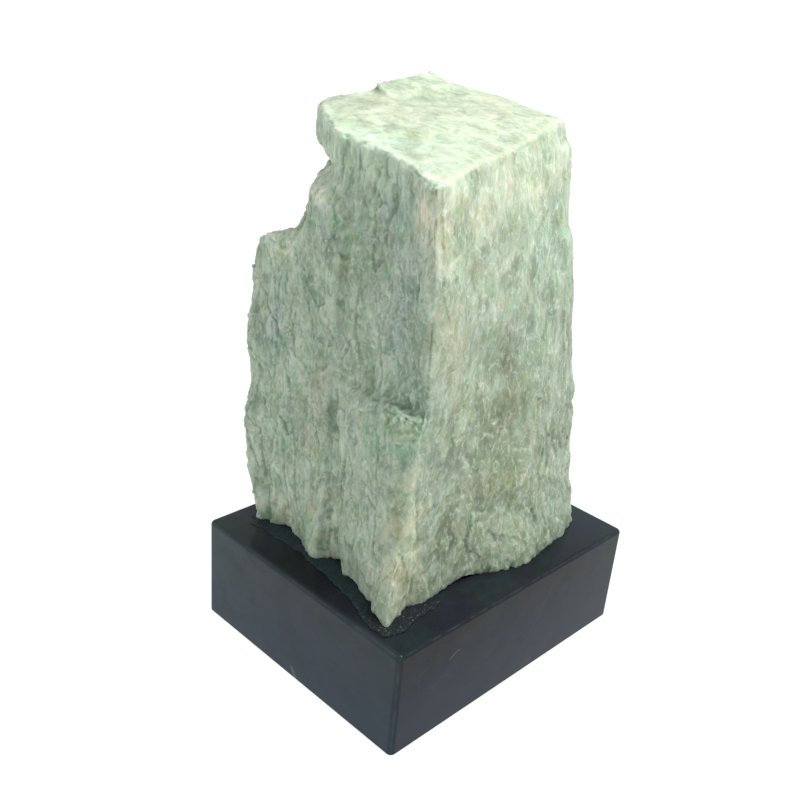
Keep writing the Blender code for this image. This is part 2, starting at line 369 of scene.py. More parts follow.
# Fine-grained black limestone, sawn and polished: deep black, soft reflections, a few grey veins
def blackMarble():
    material, tree = newMaterial("polished black marble")
    place = addNode(tree, "TexCoord", {}).outputs["Object"]
    signals = patternSignals(tree, place, marblePatterns)
    axes = addNode(tree, "SeparateXYZ", {"Vector": place}).outputs
    for name, fade in marbleFades.items():
        signals[name] = addNode(tree, "MapRange", {
            "Value": axes[fade["axis"]], "From Min": fade["from"] * mm, "From Max": fade["to"] * mm,
        }).outputs[0]
    bend = addNode(tree, "TexNoise", {
        "Vector": place, "Scale": 1 / (marble["veinBendPatch"] * mm), "Detail": 4.0,
    }).outputs["Color"]
    bent = addNode(tree, "VectorMath", {0: bend, 1: (marble["veinBend"] * mm,) * 3, 2: place},
                   operation="MULTIPLY_ADD").outputs[0]
    veins = addNode(tree, "TexVoronoi", {"Vector": bent, "Scale": 1 / (marble["veinSpacing"] * mm)},
                    feature="DISTANCE_TO_EDGE")
    signals["veins"] = addNode(tree, "MapRange", {
        "Value": veins.outputs["Distance"], "From Max": marble["veinWidth"], "To Min": 1.0, "To Max": 0.0,
    }).outputs[0]
    for name, (low, high) in marblePatchy.items():
        signals[name] = addNode(tree, "MapRange", {
            "Value": signals[name], "From Min": low, "From Max": high,
        }).outputs[0]
    signals["arris"] = addNode(tree, "Attribute", {}, attribute_name="arris").outputs["Fac"]
    signals["scuffed"] = scuffPattern(tree, place)
    body = paintBody(tree, signals, linear(marble["black"]), marbleLayers)
    wave = addNode(tree, "Bump", {
        "Height": signals["polish"], "Distance": marble["waveHeight"] * mm,
        "Strength": marble["waveStrength"],
    })
    low, high = marble["roughness"]
    gloss = addNode(tree, "MapRange", {"Value": signals["clouds"], "To Min": low, "To Max": high})
    shader = addNode(tree, "BsdfPrincipled", {
        "Base Color": body, "Roughness": gloss.outputs[0], "IOR": 1.5, "Normal": wave.outputs[0],
        "Specular IOR Level": marble["reflection"],
    })
    return finishMaterial(material, shader)


def levelEdges(bm, height):
    near = 0.01 * mm
    return [e for e in bm.edges if all(abs(v.co.z - height) < near for v in e.verts)]


def roundEdges(bm, edges, place):  # place is corner, top or foot
    bmesh.ops.bevel(bm, geom=edges, offset=marble[place + "Radius"] * mm, segments=marble[place + "Steps"],
                    profile=0.5, affect="EDGES", material=-1)


def makeMarble():
    low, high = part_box("marble_base")
    size = [b - a for a, b in zip(low, high)]
    middle = [(a + b) / 2 for a, b in zip(low, high)]
    bm = bmesh.new()
    bmesh.ops.create_cube(bm, size=1.0)
    bmesh.ops.scale(bm, vec=size, verts=bm.verts)
    bmesh.ops.translate(bm, vec=middle, verts=bm.verts)
    uprights = [e for e in bm.edges if abs(e.verts[0].co.z - e.verts[1].co.z) > size[2] / 2]
    roundEdges(bm, uprights, "corner")
    roundEdges(bm, levelEdges(bm, high[2]), "top")
    roundEdges(bm, levelEdges(bm, low[2]), "foot")
    block = bmeshToObject("polished_marble_block", bm)
    # how far each corner turns from the flat faces: where the painted highlight and the chafing go
    facing = np.abs(readNormals(block.data)).max(axis=1)
    writeAttribute(block.data, "arris", 1.0 - facing)
    block.data.shade_smooth()
    addModifier(block, "WEIGHTED_NORMAL", keep_sharp=True)
    block.data.materials.append(blackMarble())
    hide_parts("marble_base")
    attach(block, "root")
    print("marble: sawn and polished")


epoxy = {
    "voxel": 0.4,
    "softening": 30,
    "flatten": 0.1,  # how much of the bead's height is left
    "sunk": 0.05,  # so no shadow line shows between the bead and the marble
    "lumps": (((5.0, 5.0, 5.0), 0.7), ((2.2, 2.2, 2.2), 0.45), ((1.0, 1.0, 1.0), 0.25)),
    # lighter than the pigment: painted light on the bead where the stone shades it
    "black": "#2a353a",
    "roughness": (0.4, 0.75),  # from one patch of the film to another
    "reflection": 0.12,
    "grainHeight": 0.35,
    "grainStrength": 0.8,
    "dustSpot": (-27.5, -23.5, 26.0),  # crumbs of stone stuck in the bead, round the point
    "dustReach": 13.0,
    "dustCore": 0.3,  # the share of that reach where the dust is thickest
}

epoxyPatterns = {
    "film": {"size": (1.6, 1.6, 1.6), "detail": 4.0, "rough": 0.7, "twist": 0.5},
    "specks": {"size": (0.5, 0.5, 0.5), "detail": 2.0, "rough": 0.6, "twist": 0.0},
}

epoxyLayers = (
    {"by": "film", "low": 0.45, "high": 0.7, "amount": 0.6, "colour": "#3c4a50"},  # greyish blue bloom
    {"by": "film", "low": 0.45, "high": 0.3, "amount": 0.6, "colour": "#1d2928"},
    {"by": "nearThePoint", "low": 0.0, "high": 0.5, "amount": 0.85, "colour": "#13191c"},  # kept darker round the point, outside the painted light on the rest of the bead
    {"by": "specks", "low": 0.6, "high": 0.7, "amount": 0.5, "colour": "#4d5a61"},
    {"by": "specks", "low": 0.63, "high": 0.7, "amount": 0.4, "colour": "#8f8783", "within": "nearThePoint"},
)


# Two-part epoxy with black pigment, pressed out and left to set: lumpy, half gloss, dusty
def blackEpoxy():
    material, tree = newMaterial("black epoxy")
    place = addNode(tree, "TexCoord", {}).outputs["Object"]
    signals = patternSignals(tree, place, epoxyPatterns)
    signals["nearThePoint"] = addNode(tree, "Attribute", {}, attribute_name="nearThePoint").outputs["Fac"]
    body = paintBody(tree, signals, linear(epoxy["black"]), epoxyLayers)
    bump = addNode(tree, "Bump", {
        "Height": signals["specks"], "Distance": epoxy["grainHeight"] * mm,
        "Strength": epoxy["grainStrength"],
    })
    low, high = epoxy["roughness"]
    gloss = addNode(tree, "MapRange", {"Value": signals["film"], "To Min": low, "To Max": high})
    shader = addNode(tree, "BsdfPrincipled", {
        "Base Color": body, "Roughness": gloss.outputs[0], "IOR": 1.55, "Normal": bump.outputs[0],
        "Specular IOR Level": epoxy["reflection"],
    })
    return finishMaterial(material, shader)


def makeEpoxy():
    bed = mergedCopy("epoxy_bead", "epoxy_bed")
    addModifier(bed, "REMESH", mode="VOXEL", voxel_size=epoxy["voxel"] * mm)
    addModifier(bed, "SMOOTH", factor=0.5, iterations=epoxy["softening"])
    applyModifiers(bed)
    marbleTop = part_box("marble_base")[1][2] / mm
    places, normals = readPlaces(bed.data), readNormals(bed.data)
    for size, height in epoxy["lumps"]:
        places += normals * (noiseAt(places, size, 2) * height)[:, None]
    places[:, 2] = marbleTop - epoxy["sunk"] + (places[:, 2] - places[:, 2].min()) * epoxy["flatten"]
    writePlaces(bed.data, places)
    # nearness to the point: for the crumbs, and where the bead keeps its darker black
    away = np.linalg.norm(places - np.array(epoxy["dustSpot"]), axis=1)
    reach = epoxy["dustReach"]
    writeAttribute(bed.data, "nearThePoint", 1.0 - smoothStep(away, epoxy["dustCore"] * reach, reach))
    bed.data.shade_smooth()
    bed.data.materials.append(blackEpoxy())
    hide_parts("epoxy_bed")
    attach(bed, "root")
    print("epoxy: squeezed out")


crystal = {
    "voxel": 0.38,
    "softening": 8,
    "triangles": 194000,
    "footTop": 31.0,  # below this height the stone is drawn down into the bed
    "footFade": 4.0,
    "footDrop": 1.5,
    "footRagged": 0.7,
    "footPatch": (4.0, 4.0, 4.0),
    "swells": (((12.0, 12.0, 16.0), 0.5), ((5.0, 5.0, 9.0), 0.22)),
    "bends": (  # how the grain wanders: patch size and reach
        ((9.0, 9.0, 26.0), 1.6),
        ((3.4, 3.4, 7.0), 0.75),
        ((1.4, 1.4, 2.6), 0.25),
    ),
    "plateBend": ((3.0, 3.0, 4.0), 1.2),  # how the outlines of the plates wander
    "crackBend": ((2.2, 2.2, 3.0), 0.7),
    "crackRagged": 0.8,
    "crackPatch": (1.1, 1.1, 1.6),
    "topCalm": 0.65,  # the relief on the flat top is this much weaker
    "flatTop": (0.3, 0.85),  # how level it is where that begins, and where it is full
    "lobeCalm": 0.7,  # the same among the lobes
    "farRough": 1.2,  # on the two far sides it is this much stronger
    "farSides": (0.2, 0.7),  # how far a face looks that way where that begins, and where it is full
    "mendPasses": 380,
    "mendSpread": 1.35,  # so the middle of a mended place is mended fully
    "mendEdge": 0.1,
    "wearPasses": 90,
    "wear": 0.75,  # how far the edges are worn back, how much that varies, and the most it can be
    "wearVaries": 1.1,
    "wearMost": 1.3,
    "wearPatch": (3.0, 3.0, 5.0),
    "wearFrom": (27.0, 36.0),  # the foot isn't worn
    "sharp": (0.08, 0.6),  # how far an edge stands out where wear begins, and where it is full
    "crumble": 0.22,  # how rough the worn edges are
    "crumbleSize": (1.2, 1.2, 1.7),
    "grit": 0.08,  # how rough the rest is
    "gritSize": (1.3, 1.3, 1.6),
    "rimShare": 0.25,  # how much of a flake its edge takes up
    "chance": 61.0,  # any large number gives each flake its own lean and height
    "cavityPasses": 5,  # fine hollows and rims, painted with shade and light, and how deep a full one is
    "cavityDepth": 0.13,
    "dellPasses": 40,  # and wider ones
    "dellDepth": 0.5,
}

# How far a face must look each way to count as right, left, hanging or top, and how ragged the limits are.
# Left and right are as the camera sees them: the left face looks along -X and the right face along -Y
faceLimits = {
    "patch": (3.0, 3.0, 5.0),
    "ragged": 0.15,
    "right": (0.2, 0.7),
    "left": (0.4, 0.7),
    "hanging": (0.0, 0.5),
    "top": (0.5, 0.9),
}

# Where the stone breaks in blocks: low on the right face, and here and there on the far sides
blockAreas = {
    "patch": (9.0, 9.0, 14.0),
    "raggedFace": 0.4,
    "rightFace": (0.35, 0.75),
    "raggedHeight": 22.0,
    "heights": (84.0, 50.0),  # from none to all of it
    "patches": (0.3, 0.5),
    "farSides": (0.0, 0.5),
}

# The stone splits in long upright flakes. For each kind: its size across the grain, along it and up, how
# far the flakes stand out, lean, dip at their edges and bulge, what sets this pattern apart from the others,
# and how much of it shows on the right face
uprightFlakes = (
    {"size": (4.0, 9.0, 15.0), "step": 0.26, "lean": 0.34, "dip": 0.04, "dome": 0.0, "shift": 3.7,
     "right": 0.4},
    {"size": (1.5, 3.0, 4.4), "step": 0.11, "lean": 0.22, "dip": 0.05, "dome": 0.1, "shift": 11.3,
     "right": 0.4},
    {"size": (0.9, 1.6, 2.2), "step": 0.06, "lean": 0.12, "dip": 0.05, "dome": 0.09, "shift": 23.9,
     "right": 0.25},
)

# Low on the right it breaks in small blocks instead
blocks = (
    {"size": (3.6, 3.6, 6.0), "step": 0.22, "lean": 0.45, "dip": 0.07, "dome": 0.1, "shift": 5.1},
    {"size": (1.4, 1.4, 2.2), "step": 0.08, "lean": 0.2, "dip": 0.04, "dome": 0.08, "shift": 17.3},
)

# Rounded lobes hang along the left edge of the top
lobes = {
    "line": ((-18.0, 23.4, 118.0), (-26.0, 8.0, 115.5), (-25.5, 5.0, 115.0), (-24.4, -7.0, 113.5),
             (-27.6, -19.0, 112.0)),
    "width": 6.0,
    "rimRise": 2.6,  # the edge itself runs this far above them
    "rimWidth": 2.4,
    "flakes": {"size": (2.9, 2.9, 6.5), "step": 0.25, "lean": 0.1, "dip": 0.1, "dome": 1.3, "shift": 41.7},
}

# The edge between the top and the right face
rightEdge = {
    "line": ((-30.0, -21.4, 113.6), (-16.0, -17.0, 115.2), (-5.4, -14.8, 116.4), (7.6, -11.4, 117.7),
             (18.6, -9.0, 119.3), (27.0, -7.5, 120.2)),
    "width": 2.6,
}

# Places where blocks that grew into each other meet softly: where, how far that reaches and how much
mends = {
    "under the crown": ((-25.0, 12.0, 105.0), (9.0, 11.0, 7.0), 1.0),
    "crown to column": ((-25.0, 0.0, 106.0), (5.0, 7.0, 7.0), 0.9),
    "shoulder and step": ((-27.0, 14.0, 97.0), (6.0, 9.0, 7.0), 1.0),
    "left of the ledge": ((-27.0, -1.5, 71.5), (6.0, 12.0, 8.0), 0.95),
    "beside the slab": ((-27.0, 1.5, 50.0), (4.0, 4.5, 17.0), 0.6),
    "right edge of the top": ((-15.0, -17.0, 115.5), (13.0, 6.0, 4.5), 0.5),
    "right edge, far end": ((9.0, -12.5, 116.5), (14.0, 6.0, 4.5), 0.5),
    "front edge": ((-27.0, -20.5, 101.0), (5.0, 4.0, 14.0), 0.5),
    "middle of the splinter": ((-29.0, -22.0, 46.0), (4.0, 4.0, 5.0), 0.7),
}

# Places that are drawn out of the block's own shape: where, how far that reaches, and which way it goes
pulls = {
    "point of the splinter": ((-33.4, -23.0, 25.4), (2.0, 2.0, 3.4), (-1.0, -0.8, -1.0)),
    "tip of the splinter": ((-34.2, -23.7, 24.8), (1.1, 1.1, 1.8), (-0.8, -0.8, -0.6)),
    "left of the point": ((-31.2, -17.0, 27.2), (2.0, 3.0, 2.4), (-0.2, 0.1, -0.2)),
    "notch beside the point": ((-26.4, -21.2, 26.0), (1.4, 1.4, 2.4), (0.5, 0.9, 0.8)),
    "foot beside the notch": ((-22.8, -21.4, 27.0), (3.4, 3.0, 3.0), (0.3, -1.0, -1.1)),
    "foot of the right face": ((8.0, -23.0, 27.0), (17.0, 6.0, 7.0), (-1.0, -1.8, -0.3)),
    "right face, right end": ((26.5, -21.8, 27.0), (6.0, 5.0, 6.0), (-1.6, -1.3, -0.5)),
    "right face, left part": ((-17.0, -20.6, 27.0), (4.0, 3.0, 4.0), (-0.3, -0.9, -0.3)),
    "foot of the left face": ((-26.2, 6.0, 27.0), (4.0, 6.0, 6.0), (-1.7, -0.4, -0.3)),
    "left end": ((-26.5, 28.0, 27.0), (4.0, 4.0, 6.0), (-1.6, -0.8, -0.3)),
    "left side of the slab": ((-27.0, -2.5, 32.0), (3.0, 3.0, 9.0), (-0.4, 0.7, 0.0)),
    "notch at the ledge": ((-27.0, -21.5, 72.0), (5.0, 6.0, 5.0), (0.0, 0.0, -3.6)),
    "notch under the crown": ((-20.5, 19.0, 110.2), (5.0, 5.0, 2.8), (1.0, -1.0, 0.0)),
    "top of the shoulder": ((-25.0, 27.0, 93.0), (7.0, 6.0, 4.0), (0.0, 0.0, 1.3)),
}

# Plates that stand out of the sides, or have split off: where on the plan, how far they reach, between which
# heights, over what height they fade at the foot and at the top, and which way they stand out
plates = {
    "upper right": ((24.0, -9.5), 7.5, (103.0, 116.0), (9.0, 2.2), (0.9, -0.7)),
    "gap in the right": ((26.0, -11.2), 7.0, (96.0, 107.0), (1.4, 8.0), (-0.8, 0.5)),
    "middle right": ((28.0, -13.5), 8.0, (72.0, 94.0), (6.0, 8.0), (-0.3, 0.2)),
    "lower right": ((28.7, -16.3), 7.0, (57.5, 66.0), (1.0, 5.0), (0.7, -0.5)),
    "left side": ((-28.2, 30.5), 8.0, (64.5, 82.0), (4.0, 6.0), (-0.7, 0.6)),
    "gap in the left": ((-28.3, 31.0), 8.0, (52.0, 66.5), (4.0, 4.0), (0.6, -0.6)),
    "foot of the left": ((-28.4, 30.5), 8.0, (40.0, 54.0), (6.0, 2.4), (-0.4, 0.4)),
}

# Places where the flakes hardly show: where, how far that reaches and how much
calmPlaces = {
    "low front edge": ((-27.8, -21.0, 45.5), (3.6, 3.6, 5.0), 0.9),
    "point of the splinter": ((-33.0, -21.5, 26.5), (3.5, 6.0, 4.5), 0.8),
}

# Places where the stone is crumbly: where, how far that reaches and how rough it is
crumbly = {
    "top of the shoulder": ((-26.0, 24.0, 95.0), (7.0, 8.0, 4.5), 0.55),
    "top of the step": ((-24.0, 18.0, 107.0), (6.0, 7.0, 4.0), 0.4),
    "back of the top": ((0.0, 25.0, 122.0), (25.0, 4.0, 4.0), 0.4),
    "notch": ((-27.0, -16.0, 70.0), (5.0, 9.0, 3.5), 0.7),
    "left of the ledge": ((-27.0, -2.0, 71.0), (4.0, 6.0, 5.0), 0.35),
    "tan ridge": ((-28.0, 7.5, 64.0), (4.0, 3.0, 7.0), 0.35),
    "foot": ((0.0, -24.0, 27.0), (40.0, 8.0, 5.0), 0.35),
}

# Cracks and hollows: a line over the stone, how wide and how deep it is. A ridge has a depth below zero.
cracks = {
    "oblique crack": (((-28.1, 26.6, 81.4), (-28.2, 23.6, 77.4),
                       (-28.3, 20.6, 74.4), (-28.3, 18.4, 71.7)), 0.45, 0.8),
    "long crack": (((-28.3, 18.5, 65.4), (-28.2, 17.8, 56.0), (-28.3, 17.1, 42.0), (-26.3, 17.2, 29.4)),
                   0.4, 0.6),
    "upper hollow": (((-25.0, -2.3, 110.1), (-25.0, -3.9, 107.6), (-25.0, -5.0, 105.1)), 0.8, 0.8),
    "upper slit": (((-24.5, -7.8, 110.3), (-24.8, -7.0, 104.6)), 0.7, 0.9),
    "dark slit": (((-26.3, -16.3, 97.5), (-26.0, -15.9, 93.9), (-25.7, -15.3, 89.7)), 0.5, 0.8),
    "small pit": (((-26.8, 4.2, 87.5), (-26.4, 4.1, 84.2)), 0.7, 0.8),
    "middle slit": (((-26.0, 2.7, 79.9), (-25.8, 1.1, 77.1)), 0.5, 0.35),
    "shoulder slit": (((-27.9, 10.9, 79.7), (-27.9, 10.0, 74.5)), 0.4, 0.6),
    "green pocket": (((-26.4, 4.2, 62.0), (-25.7, 3.4, 58.6), (-27.4, -0.1, 58.3)), 1.2, 0.4),
    "groove": (((-25.7, 3.1, 54.7), (-25.8, 3.8, 47.2), (-26.1, 3.9, 41.0),
                (-25.6, 3.0, 34.9), (-25.4, 0.5, 29.7)), 0.9, 0.5),
    "slab crack": (((-29.2, -3.3, 57.4), (-29.2, -5.8, 50.3), (-29.3, -7.7, 47.8)), 0.4, 0.6),
    "recess slit": (((-25.5, -4.8, 75.9), (-25.5, -6.7, 69.0)), 0.4, 0.7),
    "shoulder pit": (((-28.3, 25.5, 57.3), (-28.3, 24.7, 54.4)), 0.7, 0.7),
    "fine line": (((-28.1, 16.5, 85.6), (-28.3, 15.8, 76.0)), 0.35, 0.4),
    "short line": (((-27.7, 8.1, 56.8), (-27.7, 6.7, 51.4)), 0.35, 0.5),
    "top pit": (((14.3, -1.5, 120.4), (15.4, -1.2, 120.5)), 0.7, 1.0),
    "curved edge": (((-20.3, -19.8, 97.8), (-18.6, -19.7, 95.5), (-17.4, -19.5, 91.4)), 0.4, -0.35),
}

# How the tints run into each other, as the cloudy patches do in the stone
tintEdges = {
    "bends": (((5.0, 5.0, 8.0), 2.5), ((1.8, 1.8, 3.0), 0.9)),
    "cloud": (3.0, 3.0, 6.0),
    "patchy": 1.3,
    "most": 1.6,
    "spread": 1.2,
}

# Tints of the stone: where, how wide and how tall the patch is, its colour and how strong that is. Some of them
# are painted light or painted shade, each marked where it stands
tints = {
    "top": ((0.0, 0.0, 121.0), (60.0, 3.5), "#b0b49f", 0.75),
    "top, pinkish": ((-10.0, 12.0, 121.0), (9.0, 4.0), "#b9ae98", 0.5),
    "top, pinkish right": ((12.0, 4.0, 121.0), (7.0, 4.0), "#bdb3a0", 0.4),
    "top, ridge": ((7.0, 22.0, 124.0), (10.0, 4.0), "#a5b49a", 0.5),
    "right face": ((2.0, -20.0, 90.0), (26.0, 50.0), "#aab19f", 0.7),
    "front of the right face": ((-22.5, -20.0, 97.0), (6.0, 17.0), "#c8c6aa", 0.7),
    "tan upper edge": ((-26.0, -20.5, 106.0), (3.0, 5.0), "#c6bda3", 0.6),
    # painted shade, brownish, on the rounded front edge
    "brownish shade on the front edge": ((-28.4, -20.0, 105.0), (1.6, 5.0), "#a79e91", 0.25),
    "front edge": ((-28.0, -20.5, 88.0), (2.2, 14.0), "#bcc3ad", 0.7),
    "below the cream": ((-15.5, -19.5, 68.0), (6.0, 7.0), "#8c9478", 0.5),
    # painted shade in the corner behind the ledge
    "shade behind the ledge": ((-26.0, -21.3, 75.4), (2.2, 3.5), "#748675", 0.6),
    # painted shade just under the ledge
    "shade under the ledge": ((-24.1, -21.0, 67.8), (2.6, 3.5), "#87977f", 0.55),
    "low front edge": ((-30.0, -21.5, 50.0), (2.6, 20.0), "#b5bda6", 0.7),
    "foot of the splinter": ((-31.0, -20.0, 34.0), (6.0, 8.0), "#b9c2ae", 0.8),
    "foot of the left": ((-28.0, 12.0, 31.5), (18.0, 8.0), "#c6d2c0", 0.8),
    "foot of the slab": ((-29.6, -9.5, 33.5), (5.0, 6.0), "#c2d0bd", 0.6),
    "foot beside the splinter": ((-22.0, -22.0, 32.0), (6.0, 7.0), "#a9b096", 0.7),
    "foot of the right end": ((28.0, -21.0, 33.0), (7.0, 8.0), "#a9b29f", 0.7),
    "mint by the edge": ((-21.0, -20.0, 95.0), (3.5, 4.0), "#9bb5a0", 0.7),
    "tan below the mint": ((-17.0, -20.0, 83.0), (2.6, 5.0), "#b3aa8a", 0.6),
    "mint at the right": ((16.0, -16.0, 96.0), (8.0, 9.0), "#8fb09a", 0.6),
    "mint lower down": ((8.0, -16.0, 76.0), (6.0, 5.0), "#93b09b", 0.6),
    "near end of the upper edge": ((-9.0, -20.0, 111.0), (8.0, 5.0), "#d6dac8", 0.55),
    "upper edge": ((2.0, -20.0, 110.5), (26.0, 6.0), "#c4c8b1", 0.72),
    "right half": ((24.0, -16.0, 66.0), (16.0, 46.0), "#8a9583", 0.55),
    "olive patch": ((1.5, -18.8, 66.0), (3.4, 15.0), "#686c4e", 0.85),
    "olive spread": ((-3.0, -18.8, 52.0), (10.0, 12.0), "#888e71", 0.7),
    "foot of the right face": ((0.0, -22.0, 40.0), (24.0, 16.0), "#919a82", 0.75),
    "mint foot": ((8.0, -24.0, 36.0), (8.0, 5.0), "#97a990", 0.6),
    "yellow rim": ((4.0, -22.0, 46.0), (6.0, 2.0), "#acae86", 0.6),
    "brown foot": ((-14.0, -20.0, 38.0), (2.2, 4.5), "#747459", 0.7),
    "cream splinter": ((-27.0, -21.5, 40.0), (4.0, 16.0), "#c5c7ab", 0.8),
    # painted shade, bluish, in the recess by the front edge
    "bluish shade in the recess": ((-26.0, -14.0, 88.0), (6.0, 18.0), "#89a09e", 0.6),
    "blue under the top": ((-25.0, -8.0, 107.0), (5.0, 5.0), "#8b9fa1", 0.6),
    "blue on the shoulder": ((-28.0, 22.0, 76.0), (5.0, 7.0), "#8b9d9e", 0.5),
    "green shoulder": ((-28.0, 20.0, 93.0), (7.0, 5.0), "#7b9a7e", 0.6),
    "green under the crown": ((-26.0, 6.0, 106.0), (6.0, 6.0), "#7f9f87", 0.5),
    # painted shade below the ledge, on the slab
    "shade under the ledge, left": ((-29.8, -15.7, 54.5), (4.0, 5.0), "#8a9c88", 0.45),
    "dark dent": ((-27.0, 7.0, 99.0), (4.0, 3.0), "#617965", 0.6),
    "crown": ((-24.0, 6.0, 114.5), (14.0, 4.0), "#b5cbb0", 0.75),
    "crown's edge, far": ((-22.0, 14.0, 117.5), (9.0, 2.6), "#c8d8c2", 0.75),
    "crown's edge, middle": ((-25.5, 0.0, 116.0), (9.0, 2.6), "#b7c9b4", 0.7),
    "crown's edge, near": ((-26.5, -9.5, 114.2), (6.0, 2.4), "#bfd0bd", 0.7),
    "shaded corner": ((-27.6, -12.5, 113.5), (2.6, 3.0), "#93a392", 0.4),
    "pale step": ((-24.0, 13.5, 107.0), (7.0, 4.0), "#dce1d5", 0.9),
    # painted light over the shade where the face below the step turns away
    "lit edge below the step": ((-25.5, 21.0, 101.0), (3.5, 5.0), "#c4ccba", 0.7),
    "pale shoulder": ((-26.5, 23.5, 94.5), (9.0, 3.6), "#d2dac9", 0.9),
    "ledge shadow": ((-26.0, -17.5, 73.0), (3.0, 3.5), "#6a8878", 0.7),
    "mint ledge": ((-28.0, -16.0, 66.0), (6.0, 5.0), "#98b9a0", 0.7),
    "tan ridge": ((-28.0, 7.5, 64.0), (2.4, 7.0), "#a39f87", 0.7),
    "green pocket": ((-26.0, 3.4, 59.0), (2.2, 3.0), "#5c735e", 0.7),
    "low tan patch": ((-28.0, 9.0, 52.0), (3.5, 3.0), "#a8a48f", 0.6),
    # painted light where the shape leaves the lower recess in shade
    "light in the lower recess": ((-25.6, -12.0, 73.0), (3.4, 4.0), "#a6b7aa", 0.6),
    # painted light: the lit side of the front corner, carried onto the left face
    "lit side of the corner": ((-26.8, -17.8, 110.5), (3.1, 6.0), "#dcdac8", 0.8),
    "near corner of the top": ((-21.0, -14.0, 115.5), (9.0, 3.0), "#a3ad9c", 0.5),
    "pale patch at the right": ((13.0, -17.0, 72.5), (9.0, 4.5), "#b6c2ac", 0.5),
    "olive at the right": ((19.0, -18.0, 52.0), (9.0, 6.0), "#7c8773", 0.45),
}

stoneSurface = {
    "green": "#a5b5a2",
    "grainTurn": -45.0,  # the grain runs across the block's corners
    "grainBend": 4.0,  # how far the grain wanders, and over what distance
    "grainBendPatch": 6.0,
    "flakeScale": (430.0, 430.0, 260.0),  # flakes in a metre: each is 2.3 mm across and 3.8 mm long
    "flakeCurl": 0.6,
    "flakeCurlPatch": 1.6,
    "rimWidth": 0.09,  # as a share of a flake
    "rimPlaces": (0.46, 0.6),
    "shades": (("fibres", 0.3, 0.7, 0.06), ("specks", 0.3, 0.7, 0.06), ("flakes", 0.0, 1.0, 0.07)),
    "bumpShares": (("fibres", 0.9), ("rims", 0.3), ("streaks", 0.5)),
    "bumpHeight": 0.09,
    "roughness": (0.4, 0.62),  # from one speck to the next
    "lightReach": 1.5,  # light goes this far into the stone
}

stonePatterns = {
    "patches": {"size": (5.0, 5.0, 7.0), "detail": 3.0, "rough": 0.55, "twist": 0.3},
    "greens": {"size": (4.5, 4.5, 7.0), "detail": 2.5, "rough": 0.5, "twist": 0.4},
    "tans": {"size": (3.5, 3.5, 5.0), "detail": 3.0, "rough": 0.55, "twist": 0.5},
    "hues": {"size": (2.0, 2.0, 2.8), "detail": 2.0, "rough": 0.5, "twist": 0.3},
    "flutes": {"size": (1.3, 1.3, 7.0), "detail": 3.0, "rough": 0.5, "twist": 0.2},
    "streaks": {"size": (1.0, 1.4, 2.1), "detail": 5.0, "rough": 0.65, "twist": 0.6},
    "lines": {"size": (0.8, 0.8, 2.0), "detail": 3.0, "rough": 0.6, "twist": 0.8},
    "fibres": {"size": (0.6, 0.7, 1.6), "detail": 4.0, "rough": 0.7, "twist": 0.6},
    "specks": {"size": (0.45, 0.45, 0.7), "detail": 3.0, "rough": 0.7, "twist": 0.0},
}

